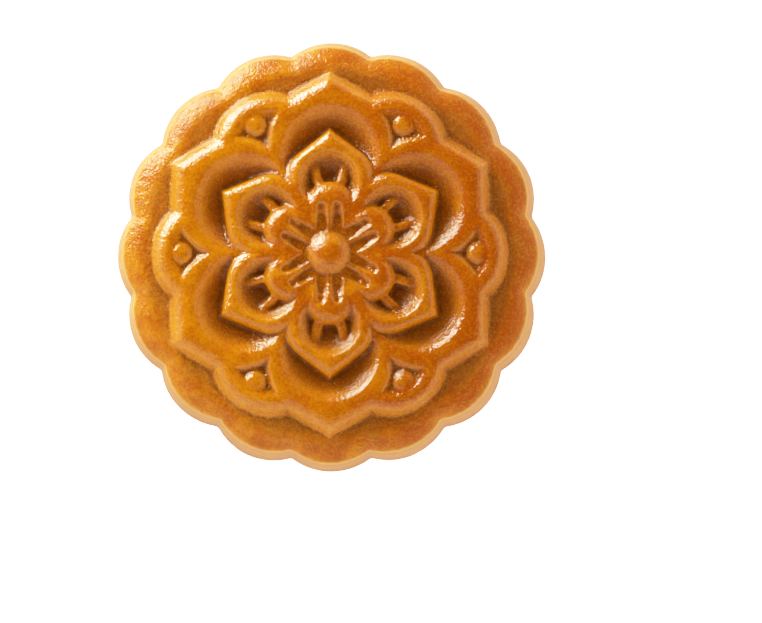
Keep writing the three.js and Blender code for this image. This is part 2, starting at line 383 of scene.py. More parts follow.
def edit(piece):
    """Opens a piece for editing with all of its faces selected."""
    select_only(piece)
    bpy.ops.object.mode_set(mode="EDIT")
    bpy.ops.mesh.select_mode(type="FACE")
    bpy.ops.mesh.select_all(action="SELECT")


def finish_edit():
    bpy.ops.object.mode_set(mode="OBJECT")


def apply_place():
    """Moves the place, turn and scale of the active object into its mesh."""
    bpy.ops.object.transform_apply(location=True, rotation=True, scale=True)


def apply_modifier(piece, kind, **settings):
    select_only(piece)
    modifier = piece.modifiers.new(kind.lower(), kind)
    for name, value in settings.items():
        setattr(modifier, name, value)
    bpy.ops.object.modifier_apply(modifier=modifier.name)


def duplicate(piece):
    select_only(piece)
    bpy.ops.object.duplicate()
    return bpy.context.object


def join(pieces):
    select_only(*pieces)
    bpy.ops.object.join()
    return bpy.context.object


def cut(piece, cutter):
    """Takes a cutter away from a piece and keeps the cutter."""
    apply_modifier(piece, "BOOLEAN", operation="DIFFERENCE", object=cutter, solver="MANIFOLD")


def delete(pieces):
    select_only(*pieces)
    bpy.ops.object.delete()


def cut_all(pieces, cutters):
    for cutter in cutters:
        for piece in pieces:
            cut(piece, cutter)
    delete(cutters)


def rows(items, name, columns, kind=np.float32):
    """What all items of a mesh say under a name, as an array with a row for each."""
    flat = np.empty(len(items) * columns, kind)
    items.foreach_get(name, flat)
    return flat.reshape(-1, columns)


def coordinates(piece):
    return rows(piece.data.vertices, "co", 3).astype(float)


def set_coordinates(piece, points):
    piece.data.vertices.foreach_set("co", np.asarray(points, np.float32).ravel())
    piece.data.update()


# Outlines: arrays of points that start in the direction of +Y and run anticlockwise

def polar(radius, direction):
    return np.array((radius * math.cos(direction), radius * math.sin(direction)))


def turned(point, direction):
    """A point of a petal's own frame, across and along it, turned to the petal's direction."""
    x, y = point
    turn = direction - FIRST_PETAL
    return np.array((
        x * math.cos(turn) - y * math.sin(turn),
        x * math.sin(turn) + y * math.cos(turn),
    ))


def petal_directions():
    return [FIRST_PETAL + i * PETAL_TURN for i in range(PETALS)]


def arc(centre, radius, start, end, steps):
    return [centre + polar(radius, start + (end - start) * i / steps) for i in range(steps + 1)]


def curve(first, bend, last, steps):
    """A quadratic curve from the first point to the last, without the last."""
    shares = [i / steps for i in range(steps)]
    return [(1 - t) ** 2 * first + 2 * t * (1 - t) * bend + t ** 2 * last for t in shares]


def grown(points, margin):
    """An outline moved outwards by a margin."""
    points = np.array(points)
    run = np.roll(points, -1, axis=0) - points
    run /= np.linalg.norm(run, axis=1)[:, None]
    outward = np.stack((run[:, 1], -run[:, 0]), axis=1)
    before = np.roll(outward, 1, axis=0)
    spread = 1 + np.sum(before * outward, axis=1)
    return points + margin * (before + outward) / spread[:, None]


def scallop_share(direction, sizes):
    """How far the scalloped edge reaches in a direction, as a share of the crest's reach."""
    turn = 2 * math.pi / sizes.scallops
    from_crest = direction - turn * round(direction / turn)
    centre = CAKE_RADIUS - sizes.scallop_arc
    across = centre * math.sin(from_crest)
    reach = centre * math.cos(from_crest) + math.sqrt(sizes.scallop_arc ** 2 - across ** 2)
    return reach / CAKE_RADIUS


def scalloped_outline(sizes, radius):
    steps = sizes.scallops * SCALLOP_STEPS
    directions = [FIRST_PETAL + 2 * math.pi * i / steps for i in range(steps)]
    return [polar(radius * scallop_share(direction, sizes), direction) for direction in directions]


def lobe_circle(sizes):
    """The middle, radius and half angle of a round lobe, from its crest and the notches beside it."""
    along, across = polar(sizes.notch, PETAL_TURN / 4)
    centre = (sizes.crest ** 2 - sizes.notch ** 2) / (2 * (sizes.crest - along))
    return centre, sizes.crest - centre, math.atan2(across, along - centre)


def plate_outline(sizes):
    centre, radius, half_angle = lobe_circle(sizes)
    points = []
    for direction in petal_directions():
        lobe = direction + PETAL_TURN / 2
        points.append(polar(sizes.tip, direction))
        points += arc(polar(centre, lobe), radius, lobe - half_angle, lobe + half_angle, ARC_STEPS)
    return points


def ring_outline(sizes):
    shoulder = (sizes.shoulder_across, sizes.shoulder_along)
    corner = (sizes.corner_across, sizes.corner_along)
    points = []
    for direction in petal_directions():
        following = direction + PETAL_TURN
        notch = polar(sizes.notch, direction + PETAL_TURN / 2)
        leaving = turned((-shoulder[0], shoulder[1]), direction)
        arriving = turned(shoulder, following)
        points.append(polar(sizes.tip, direction))
        points += curve(leaving, turned((-corner[0], corner[1]), direction), notch, CURVE_STEPS)
        points += curve(notch, turned(corner, following), arriving, CURVE_STEPS)
        points.append(arriving)
    return points


def circle(radius):
    return [polar(radius, FIRST_PETAL + 2 * math.pi * i / WALL_SEGMENTS) for i in range(WALL_SEGMENTS)]


# Shapes that several pieces use

def level_face(name, points, height):
    """A level face with this outline: a circle whose corners are moved onto it."""
    deselect()
    bpy.ops.mesh.primitive_circle_add(vertices=len(points), radius=CAKE_RADIUS, fill_type="NGON")
    piece = bpy.context.object
    piece.name = name
    set_coordinates(piece, [(x, y, height) for x, y in points])
    return piece


def extrude_up(height):
    bpy.ops.mesh.extrude_region_move(TRANSFORM_OT_translate={"value": (0, 0, height)})


def rounded(sizes):
    """Steps of width and height up a rounded shoulder, from its first slope to level."""
    slopes = [sizes.edge_slope * (1 - i / SHOULDER_STEPS) for i in range(SHOULDER_STEPS + 1)]
    return [
        (
            sizes.edge_radius * (math.sin(steep) - math.sin(gentle)),
            sizes.edge_radius * (math.cos(gentle) - math.cos(steep)),
        )
        for steep, gentle in zip(slopes, slopes[1:])
    ]


def raised(name, outline, sizes, foot):
    """An outline raised to a height: a wall that leans in from its foot, then a rounded shoulder."""
    piece = level_face(name, grown(outline, sizes.foot), foot - BURIED)
    edit(piece)
    extrude_up(BURIED)
    shoulder_drop = sizes.edge_radius * (1 - math.cos(sizes.edge_slope))
    wall = (sizes.draft, sizes.height - shoulder_drop - foot)
    for width, height in [wall, *rounded(sizes)]:
        bpy.ops.mesh.inset(thickness=width, depth=height, use_even_offset=True)
    finish_edit()
    return piece


def ball(name, radius, half_height, distance, direction, height):
    """A ball squashed to a half height, with its middle at a distance along a direction."""
    deselect()
    bpy.ops.mesh.primitive_uv_sphere_add(segments=BALL_SEGMENTS, ring_count=BALL_RINGS, radius=radius)
    piece = bpy.context.object
    piece.name = name
    piece.scale.z = half_height / radius
    piece.location = (*polar(distance, direction), height)
    apply_place()
    return piece


def bar(name, radius, start, end):
    """A round bar: a ball whose outer half is drawn out, turned from its start to its end."""
    run = Vector(end) - Vector(start)
    deselect()
    bpy.ops.mesh.primitive_uv_sphere_add(segments=BAR_SEGMENTS, ring_count=BAR_RINGS, radius=radius)
    piece = bpy.context.object
    piece.name = name
    points = coordinates(piece)
    points[points[:, 2] > 0, 2] += run.length
    set_coordinates(piece, points)
    piece.rotation_euler = UP.rotation_difference(run).to_euler()
    piece.location = start
    apply_place()
    return piece


def pair(piece):
    """A piece and its mirror image across the petal along +Y."""
    copy = duplicate(piece)
    copy.scale.x = -1
    apply_place()
    edit(copy)
    bpy.ops.mesh.normals_make_consistent(inside=False)
    finish_edit()
    return [piece, copy]


def round_the_petals(piece):
    """A piece and its copies at the other petals."""
    copies = [piece]
    for i in range(1, PETALS):
        copy = duplicate(piece)
        copy.rotation_euler.z = i * PETAL_TURN
        apply_place()
        copies.append(copy)
    return copies


def sweep(profile, merging=0):
    """Draws the selected level face along a profile of radius and height that starts at its own.

    At each step it may also turn a share of the way into a circle.
    """
    for (radius, level), (next_radius, next_level) in zip(profile, profile[1:]):
        extrude_up(next_level - level)
        grow = next_radius / radius
        bpy.ops.transform.resize(value=(grow, grow, 1), center_override=(0, 0, 0))
        if merging:
            bpy.ops.transform.tosphere(value=merging)


def hollow_depth(radius, sizes):
    """How deep a petal's hollow is at a distance from its middle, with a rounded rim."""
    bowl = sizes.hollow_depth * (1 - (radius / sizes.hollow_radius) ** HOLLOW_STEEPNESS)
    rim = sizes.hollow_rim
    blend = max(rim - abs(bowl), 0) / rim
    return max(bowl, 0) + rim * blend ** 2 / 4


def hollows(name, sizes):
    """What presses a hollow into each petal, standing over its surface."""
    reach = sizes.hollow_radius * (1 + sizes.hollow_rim / sizes.hollow_depth) ** (1 / HOLLOW_STEEPNESS)
    radii = np.linspace(reach / HOLLOW_STEPS, reach, HOLLOW_STEPS)
    profile = [(radius, sizes.height - hollow_depth(radius, sizes)) for radius in radii]
    profile.append((reach, sizes.height + sizes.hollow_depth))
    first_radius, first_level = profile[0]
    piece = level_face(name, circle(first_radius), first_level)
    edit(piece)
    sweep(profile)
    finish_edit()
    piece.location = (*polar(sizes.hollow_distance, FIRST_PETAL), 0)
    select_only(piece)
    apply_place()
    return round_the_petals(piece)


# The cake below the flower

def side_profile(sizes):
    """Radius and height up the side, from the foot over the belly to the shoulder."""
    foot = CAKE_RADIUS - sizes.base_inset
    belly = sizes.belly_height
    profile = []
    for i in range(SIDE_STEPS + 1):
        turn = math.pi / 2 * i / SIDE_STEPS
        profile.append((foot + sizes.base_inset * math.sin(turn), belly - belly * math.cos(turn)))
    for i in range(1, SIDE_STEPS + 1):
        rise = i / SIDE_STEPS
        height = belly + (sizes.shoulder_height - belly) * rise
        profile.append((CAKE_RADIUS - sizes.shoulder_inset * rise ** 2, height))
    return profile


def band_profile(sizes):
    """Radius and height from the shoulder over the pillows of the band and into the channel."""
    radius = CAKE_RADIUS - sizes.shoulder_inset
    profile = [(radius, sizes.shoulder_height)]
    pillow_width = sizes.lip_inset - sizes.shoulder_inset
    pillow_rise = sizes.lip_height - sizes.shoulder_height
    for i in range(1, LIP_STEPS + 1):
        inward = i / LIP_STEPS
        height = sizes.lip_height - pillow_rise * (1 - inward) ** PILLOW_STEEPNESS
        profile.append((radius - pillow_width * inward, height))
    radius, level = profile[-1]
    dip_width = sizes.channel_inset - sizes.lip_inset
    dip = sizes.lip_height - sizes.channel_height
    for i in range(1, LIP_STEPS + 1):
        inward = i / LIP_STEPS
        profile.append((radius - dip_width * inward, level - dip * (1 - math.cos(math.pi * inward)) / 2))
    return profile


def model_body(sizes):
    side = side_profile(sizes)
    radius, level = side[0]
    piece = level_face("cake_body", scalloped_outline(sizes, radius), level)
    edit(piece)
    sweep(side)
    sweep(band_profile(sizes), sizes.merging)
    finish_edit()


class MOONCAKE_OT_body(Operator):
    """Models the scalloped cake below the flower"""
    bl_idname = "mooncake.body"
    bl_label = "Cake body"

    def execute(self, context):
        model_body(context.scene.mooncake_body)
        return {"FINISHED"}


# The plate with its hollows, recesses and beads

def upright_wall(radius, flare, reach, distance, direction, height):
    """A round wall about a height, which widens upwards by a flare for each length."""
    widening = flare * reach
    deselect()
    bpy.ops.mesh.primitive_cone_add(
        vertices=WALL_SEGMENTS, radius1=radius - widening, radius2=radius + widening, depth=2 * reach
    )
    piece = bpy.context.object
    piece.location = (*polar(distance, direction), height)
    apply_place()
    return piece


def recess(sizes):
    """What a round lobe's rim and the rims of the two petals beside it leave free."""
    flare = sizes.recess_flare
    depth = sizes.recess_depth
    middle = lobe_circle(sizes)[0]
    side = sizes.recess_side_distance
    hole = upright_wall(sizes.recess_radius, 2 * flare, depth, middle, FIRST_LOBE, sizes.height)
    rims = [
        upright_wall(sizes.recess_side, -flare, 2 * depth, side, direction, sizes.height)
        for direction in (FIRST_LOBE - PETAL_TURN / 2, FIRST_LOBE + PETAL_TURN / 2)
    ]
    cut_all([hole], rims)
    return hole


def bead(sizes):
    floor = sizes.height - sizes.recess_depth
    rise = sizes.bead_height - floor
    return ball("bead", sizes.bead_radius, rise, sizes.bead_distance, FIRST_LOBE, floor)


class MOONCAKE_OT_plate(Operator):
    """Models the plate with six hollows, and a bead in a recess between each two"""
    bl_idname = "mooncake.plate"
    bl_label = "Flower plate"

    def execute(self, context):
        sizes = context.scene.mooncake_plate
        foot = context.scene.mooncake_body.channel_height
        piece = raised("flower_plate", plate_outline(sizes), sizes, foot)
        cut_all([piece], hollows("petal_hollow", sizes))
        cut_all([piece], round_the_petals(recess(sizes)))
        join([piece, *round_the_petals(bead(sizes))])
        return {"FINISHED"}


# The ring of pointed petals

class MOONCAKE_OT_ring(Operator):
    """Models the ring of six pointed petals, each with a hollow and two ribs"""
    bl_idname = "mooncake.ring"
    bl_label = "Petal ring"

    def execute(self, context):
        sizes = context.scene.mooncake_ring
        foot = context.scene.mooncake_body.channel_height
        piece = raised("petal_ring", ring_outline(sizes), sizes, foot)
        cut_all([piece], hollows("ring_hollow", sizes))
        well_depth = sizes.height - sizes.well_floor
        cut_all([piece], [upright_wall(sizes.well, 0, well_depth, 0, FIRST_PETAL, sizes.height)])
        left, right = pair(bar("ribs", sizes.rib_radius, sizes.rib_start, sizes.rib_end))
        join([*round_the_petals(left), *round_the_petals(right)])
        return {"FINISHED"}


# The flower and its dome

def model_petal(sizes, foot):
    """The petal that points along +Y, still whole."""
    piece = raised("petal", circle(sizes.petal), sizes, foot)
    piece.location = (*polar(sizes.tip - sizes.petal, FIRST_PETAL), 0)
    select_only(piece)
    apply_place()
    return piece


class MOONCAKE_OT_flower(Operator):
    """Models the flower of six dished petals with two grooves each, round its dome"""
    bl_idname = "mooncake.flower"
    bl_label = "Flower"

    def execute(self, context):
        sizes = context.scene.mooncake_flower
        foot = context.scene.mooncake_body.channel_height
        petal = model_petal(sizes, foot)
        disc = upright_wall(sizes.disc_radius, 0, sizes.disc_height - foot, 0, FIRST_PETAL, foot)
        disc.name = "flower"
        dish = ball(
            "dish", sizes.dish_radius, sizes.dish_depth, 0, FIRST_PETAL, sizes.height + sizes.dish_lift
        )
        cut_all([petal, disc], [dish])
        for groove in pair(bar("groove", sizes.groove_radius, sizes.groove_start, sizes.groove_end)):
            cut(petal, groove)
            cut_all([disc], round_the_petals(groove))
        radius = sizes.dome_radius
        dome = ball("dome", radius, radius, 0, FIRST_PETAL, CAKE_HEIGHT - radius)
        join([disc, dome, *round_the_petals(petal)])
        return {"FINISHED"}


# The crust that merges them all

def weigh(piece, name, weights, levels=16):
    """Gives a piece a vertex group, with its weights rounded to a few levels."""
    group = piece.vertex_groups.new(name=name)
    rounded_weights = np.round(weights * levels)
    for level in range(1, levels + 1):
        chosen = np.flatnonzero(rounded_weights == level).tolist()
        if chosen:
            group.add(chosen, level / levels, "REPLACE")


def smooth_step(values, low, high):
    across = np.clip((values - low) / (high - low), 0, 1)
    return across ** 2 * (3 - 2 * across)


def bake_unevenly(piece, name, size, depth):
    """Moves the crust in and out by a cloudy pattern, except at its flat base."""
    texture = bpy.data.textures.new(name, "CLOUDS")
    texture.noise_scale = size
    texture.noise_depth = 1
    apply_modifier(
        piece, "DISPLACE", texture=texture, texture_coords="LOCAL", strength=depth, mid_level=0.5,
        vertex_group="above_base",
    )


def neighbour_average(values, edges, rounds):
    """Values at the vertices after so many rounds of averaging each with its neighbours."""
    ends = edges.ravel()
    others = edges[:, ::-1].ravel()
    vertices = len(values)
    neighbours = np.maximum(np.bincount(ends, minlength=vertices), 1)
    for _ in range(rounds):
        total = np.stack([np.bincount(ends, column[others], vertices) for column in values.T], axis=1)
        values = (values + total / neighbours[:, None]) / 2
    return values


def add_attribute(piece, name, values):
    attribute = piece.data.attributes.new(name, "FLOAT", "POINT")
    attribute.data.foreach_set("value", np.asarray(values, np.float32))


def measure_relief(piece):
    """Stores how steep the crust is, and how far it stands out of its surroundings, near and wide."""
    mesh = piece.data
    points = coordinates(piece) / MM
    normals = rows(mesh.vertex_normals, "vector", 3)
    edges = rows(mesh.edges, "vertices", 2, np.int32)
    near = neighbour_average(points, edges, NEAR_ROUNDS)
    wide = neighbour_average(near, edges, WIDE_ROUNDS)
    add_attribute(piece, "slope", 1 - normals[:, 2])
    add_attribute(piece, "relief", np.sum((points - near) * normals, axis=1))
    add_attribute(piece, "rise", np.sum((points - wide) * normals, axis=1))


class MOONCAKE_OT_crust(Operator):
    """Merges the parts into one baked crust, and gives it its glaze"""
    bl_idname = "mooncake.crust"
    bl_label = "Baked crust"

    def execute(self, context):
        look = context.scene.mooncake_crust
        piece = join([bpy.data.objects[name] for name in RAISED_PARTS])
        piece.name = "mooncake_crust"
        apply_modifier(piece, "REMESH", mode="VOXEL", voxel_size=look.grain)
        apply_modifier(piece, "SMOOTH", factor=0.5, iterations=look.softening)
        channel = context.scene.mooncake_body.channel_height
        heights = coordinates(piece)[:, 2]
        weigh(piece, "above_base", smooth_step(heights, *BASE_STAYS_FLAT))
        bake_unevenly(piece, "swells", SWELL_SIZE, look.swell)
        bake_unevenly(piece, "dimples", DIMPLE_SIZE, look.dimple)
        coarse, fine = (channel - depth for depth in COARSE_BELOW_CHANNEL)
        weigh(piece, "side_and_base", 1 - smooth_step(heights, coarse, fine))
        triangles = 2 * len(piece.data.polygons)
        apply_modifier(piece, "TRIANGULATE")
        apply_modifier(piece, "DECIMATE", ratio=look.triangles / triangles, vertex_group="side_and_base")
        piece.vertex_groups.clear()
        select_only(piece)
        bpy.ops.object.shade_smooth()
        measure_relief(piece)
        piece.data.materials.clear()
        piece.data.materials.append(crust_material(look))
        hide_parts("mooncake")
        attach(piece, "root")
        return {"FINISHED"}


# Shader maths

def arithmetic(operation, swapped=False):
    """A method that adds a Math node for a wire and another value."""
    def method(self, other):
        values = (other, self) if swapped else (self, other)
        return self.graph.maths(operation, *values)
    return method


class Wire:
    """A value that varies over a surface. Arithmetic on it adds Math nodes."""
    __add__ = arithmetic("ADD")
    __radd__ = arithmetic("ADD", swapped=True)
    __sub__ = arithmetic("SUBTRACT")
    __rsub__ = arithmetic("SUBTRACT", swapped=True)
    __mul__ = arithmetic("MULTIPLY")
    __rmul__ = arithmetic("MULTIPLY", swapped=True)

    def __init__(self, graph, socket):
        self.graph = graph
        self.socket = socket


class Graph:
    """The nodes of a material or a world."""

    def __init__(self, owner):
        owner.use_nodes = True
        self.tree = owner.node_tree
        self.tree.nodes.clear()

    def node(self, kind, settings=None, sockets=None, output=0):
        """Adds a node: its settings are set first, then the values or links of its sockets."""
        added = self.tree.nodes.new(kind)
        for name, value in (settings or {}).items():
            setattr(added, name, value)
        for name, value in (sockets or {}).items():
            if isinstance(value, Wire):
                self.tree.links.new(value.socket, added.inputs[name])
            else:
                added.inputs[name].default_value = value
        return Wire(self, added.outputs[output]) if len(added.outputs) else added

    def attribute(self, name):
        return self.node("ShaderNodeAttribute", {"attribute_name": name}, output="Fac")

    def ease(self, value, low, high):
        """From 0 at the low value to 1 at the high one, softly."""
        return self.node(
            "ShaderNodeMapRange", {"interpolation_type": "SMOOTHSTEP"},
            {"Value": value, "From Min": low, "From Max": high},
        )

    def mix(self, share_of_second, first, second):
        """A colour between two colours."""
        return self.node(
            "ShaderNodeMix", {"data_type": "RGBA"},
            {0: share_of_second, 6: as_colour(first), 7: as_colour(second)}, output=2,
        )

    def maths(self, operation, first, second):
        return self.node("ShaderNodeMath", {"operation": operation}, {0: first, 1: second})

    def stretched(self, place, scales):
        return self.node("ShaderNodeVectorMath", {"operation": "MULTIPLY"}, {0: place, 1: scales})

    def agreement(self, direction, other):
        """The cosine of the angle between two directions."""
        return self.node(
            "ShaderNodeVectorMath", {"operation": "DOT_PRODUCT"}, {0: direction, 1: other}, output="Value"
        )

    def part_of(self, place, axis):
        return self.node("ShaderNodeSeparateXYZ", sockets={0: place}, output=axis)

    def noise(self, place, size, detail, roughness=0.5):
        """A cloudy pattern about the value 0.5, with clouds of a size in millimetres."""
        return self.node(
            "ShaderNodeTexNoise", {},
            {"Vector": place, "Scale": 1 / size, "Detail": detail, "Roughness": roughness},
        )


def as_colour(value):
    """A colour socket takes four numbers, or a wire."""
    return value if isinstance(value, Wire) else (*value, 1)


class CrustPatterns:
    """What the crust's colours and gloss go by at each point, with lengths in millimetres."""

    def __init__(self, graph):
        position = graph.node("ShaderNodeTexCoord", output="Object")
        self.place = graph.stretched(position, (1 / MM,) * 3)
        self.height = graph.part_of(self.place, "Z")
        self.leftward = -1 * graph.part_of(self.place, "X")
        flat = {0: graph.stretched(self.place, (1, 1, 0))}
        self.from_middle = graph.node("ShaderNodeVectorMath", {"operation": "LENGTH"}, flat, output="Value")
        self.relief = graph.attribute("relief")
        self.rise = graph.attribute("rise")
        self.slope = graph.attribute("slope")

        self.cloud = graph.noise(self.place, CLOUD_SIZE, 3)
        self.speckle = graph.noise(self.place, SPECKLE_SIZE, 1)
        self.grain = graph.noise(self.place, GRAIN_SIZE, 3, ROUGH)
        self.streaks = graph.noise(graph.stretched(self.place, LAYERS), STREAK_SIZE, 2)
        self.uneven = self.grain - 0.5

        self.outside = graph.ease(self.from_middle, *PLATE_EDGE)
        self.inside = 1 - self.outside
        self.lifted = graph.ease(self.height, *FLOWER_HEIGHTS)
        self.low = graph.ease(self.rise + self.uneven * RAGGED_HEIGHTS, *LOW_RISE)
        self.band = graph.ease(self.height, *BAND_HEIGHTS) * self.outside
        self.level = self.height + self.uneven * RAGGED_HEIGHTS
        self.rim = graph.ease(self.level, *RIM_HEIGHTS)


def top_tone(graph, crust, look):
    """Orange, deeper in clouds; painted light makes it lighter towards the key light on the left and deeper
    to the right; golden over edges, partly painted light; redder on the small petals.
    """
    # Painted light: the key light's side on the left is painted lighter and the far side deeper, over
    # clouds of real browning
    unbrowned_and_lit = crust.cloud * UNBROWNED_BY_CLOUD + crust.leftward * LIT_LEFTWARD
    tone = graph.mix(graph.ease(unbrowned_and_lit, *BROWNING_AND_LIGHT), look.deep, look.orange)
    # Golden edges: thin glaze, with painted light for the light that the edges catch
    edges = graph.ease(crust.relief + crust.uneven * RAGGED_RELIEF, *EDGE_RELIEF)
    tone = graph.mix(edges * GOLDEN_EDGES, tone, look.golden)
    small_petals = graph.ease(crust.from_middle, *SMALL_PETALS)
    blush = graph.noise(crust.place, BLUSH_SIZE, 3) + small_petals * SMALL_PETAL_BLUSH
    patches = graph.ease(blush, *BLUSH)
    tone = graph.mix(patches * (BLUSH_COVER + BLUSH_COVER * small_petals), tone, look.deep)
    slope = graph.ease(crust.slope + crust.uneven * RAGGED_RELIEF, *SLOPES)
    return graph.mix(slope * AMBER_SLOPES, tone, look.amber)


def band_tone(graph, crust, look, tone):
    """The band round the flower: deep orange pools, and a tan channel with a ragged border, painted lighter
    on the key light's side and in painted shade on the far side.
    """
    pool = graph.ease(graph.noise(crust.place, POOL_SIZE, 2), *POOLS) * crust.band
    tone = graph.mix(pool * POOL_COVER, tone, look.deep)
    ragged = crust.uneven * RAGGED_CHANNEL + (crust.cloud - 0.5) * CLOUDED_CHANNEL
    channel = graph.ease(crust.from_middle + ragged, *CHANNEL_REACH) * crust.band
    # Painted light: shaded tan on the right, lit tan on the left
    channel_tone = graph.mix(graph.ease(crust.leftward, *CHANNEL_SHADE_SPAN), look.shaded_tan, look.tan)
    return graph.mix(channel * CHANNEL_COVER, tone, channel_tone)


def shade_and_speck_tone(graph, crust, look, tone):
    """Painted shade, a dark colour, in the depths of the hollows and along the foot of every wall, then
    light and dark specks of the crust.
    """
    # Painted shade in the depths of the hollows
    depths = graph.ease(crust.rise + (crust.streaks - 0.5) * STREAKED_DEPTHS, *DEEP_RISE)
    depths = depths * crust.inside * (1 - crust.lifted)
    tone = graph.mix(depths * SHADE_DEPTHS, tone, look.shade_brown)
    # Painted shade along the foot of every wall
    corner = graph.ease(crust.relief + (crust.speckle - 0.5) * RAGGED_RELIEF, *CORNER_RELIEF)
    cover = SHADE_CORNERS - SHADE_LESS_OUTSIDE * crust.outside - SHADE_LESS_ON_FLOWER * crust.lifted
    tone = graph.mix(corner * cover, tone, look.shade_brown)
    light_specks = graph.ease(crust.speckle, *LIGHT_SPECKS) * (1 - depths)
    tone = graph.mix(light_specks * GOLDEN_SPECKS, tone, look.golden)
    return graph.mix(graph.ease(crust.speckle, *DARK_SPECKS) * DEEP_SPECKS, tone, look.deep)


def side_tone(graph, crust, look, tone):
    """The unglazed side: pale below the rim, browner towards the base, with a thin painted highlight along
    the line where it meets the band.
    """
    tone = graph.mix(crust.rim * GOLDEN_RIM, tone, look.golden)
    clouded = graph.noise(crust.place, BAKED_SIZE, 4, ROUGH) * CLOUDED_SIDE
    paler = graph.ease(clouded - crust.height, *SIDE_BROWNING)
    wall = graph.mix(paler * PALER_SIDE, look.side_brown, look.side)
    palest = graph.ease(crust.level + (crust.cloud - 0.5) * CLOUDED_PALE, *PALE_HEIGHTS)
    wall = graph.mix(palest, wall, look.pale)
    tone = graph.mix(graph.ease(crust.level, *SIDE_HEIGHTS), tone, wall)
    # Painted highlight along the thin line where the side meets the band
    crease_highlight = graph.ease(crust.level, *CREASE_BELOW) * graph.ease(crust.level, *CREASE_ABOVE)
    return graph.mix(crease_highlight * CREASE_HIGHLIGHT_COVER, tone, look.crease_highlight)


def baked_dough(graph, tone, normal, finish):
    """Dough that lets a little light in, with the sockets that make its finish."""
    return graph.node(
        "ShaderNodeBsdfPrincipled", {"subsurface_method": "BURLEY"},
        {
            "Base Color": tone,
            "Subsurface Weight": 0.08,
            "Subsurface Radius": (1.0, 0.35, 0.08),
            "Subsurface Scale": 1 * MM,
            "Normal": normal,
            **finish,
        },
    )


def crust_material(look):
    material = bpy.data.materials.new("glazed_crust")
    graph = Graph(material)
    crust = CrustPatterns(graph)
    tone = top_tone(graph, crust, look)
    # The hollows are darker: partly painted shade, partly a browner crust
    hollow = crust.low * (HOLLOW_COVER - HOLLOW_LESS_ON_FLOWER * crust.lifted) * crust.inside
    tone = graph.mix(hollow, tone, look.hollow)
    tone = band_tone(graph, crust, look, tone)
    tone = shade_and_speck_tone(graph, crust, look, tone)
    tone = side_tone(graph, crust, look, tone)

    fine = crust.speckle * SPECKLE_BUMP + crust.grain * (GRAIN_BUMP + GRAIN_BUMP * crust.outside)
    fine = fine + crust.streaks * STREAK_BUMP * crust.low
    bump = {"Strength": 1, "Distance": 1 * MM, "Height": fine}
    normal = graph.node("ShaderNodeBump", {}, bump, output="Normal")
    glazed = baked_dough(graph, tone, normal, {
        "Roughness": GLAZE_ROUGHNESS + LOW_ROUGHNESS * crust.low + UNEVEN_ROUGHNESS * crust.uneven,
        "IOR": 1.5,
    })
    matte = baked_dough(graph, tone, normal, {
        "Roughness": 0.6,
        "Specular IOR Level": 0.1,
    })
    bare = graph.maths("MAXIMUM", crust.rim, BARE_BAND * crust.band)
    bare = graph.maths("MAXIMUM", bare, BARE_DEPTHS * graph.ease(crust.rise, *BARE_RISE))
    surface = graph.node("ShaderNodeMixShader", {}, {0: bare, 1: glazed, 2: matte})
    graph.node("ShaderNodeOutputMaterial", {}, {"Surface": surface})
    return material


# The stage

def add_floor(look):
    deselect()
    bpy.ops.mesh.primitive_plane_add(size=FLOOR_SIZE)
    floor = bpy.context.object
    floor.name = "floor"
    material = bpy.data.materials.new("floor_paper")
    graph = Graph(material)
    seen = graph.node("ShaderNodeLightPath", output="Is Camera Ray")
    surface = graph.node(
        "ShaderNodeBsdfPrincipled", {},
        {
            "Base Color": (*look.floor, 1),
            "Roughness": 0.9,
            "Emission Color": graph.mix(seen, (look.floor_glow,) * 3, (look.backdrop,) * 3),
            "Emission Strength": 1,
        },
    )
    graph.node("ShaderNodeOutputMaterial", {}, {"Surface": surface})
    floor.data.materials.append(material)
    floor.visible_glossy = False


def towards(azimuth, off_axis):
    """The direction on a side of the picture and at an angle off the upright."""
    return Vector((
        math.sin(off_axis) * math.cos(azimuth),
        math.sin(off_axis) * math.sin(azimuth),
        math.cos(off_axis),
    ))


def add_key_light(look):
    """A soft light on the side of the softbox, which the glaze doesn't mirror."""
    light = bpy.data.lights.new("key_light", "AREA")
    light.size = LAMP_SIZE
    light.energy = look.key_power
    key = bpy.data.objects.new("key_light", light)
    bpy.context.scene.collection.objects.link(key)
    direction = towards(look.key_azimuth, look.key_off_axis)
    key.location = direction * LAMP_DISTANCE
    key.rotation_euler = direction.to_track_quat("Z", "Y").to_euler()
    key.visible_camera = False
    key.visible_glossy = False


def add_camera(look):
    camera = bpy.data.cameras.new("camera")
    camera.lens = look.lens
    camera.sensor_width = SENSOR_WIDTH
    holder = bpy.data.objects.new("camera", camera)
    bpy.context.scene.collection.objects.link(holder)
    holder.rotation_euler = (look.lean_back, look.lean_right, 0)
    away = holder.rotation_euler.to_matrix() @ UP
    holder.location = Vector(look.aim) + away * look.distance
    bpy.context.scene.camera = holder


def share_below(graph, direction, azimuth, rise, softness):
    """1 below a plane that rises on a side to an angle off the upright, 0 above it."""
    plane_normal = -towards(azimuth, rise + math.pi / 2)
    return graph.ease(graph.agreement(direction, plane_normal), softness, -softness)


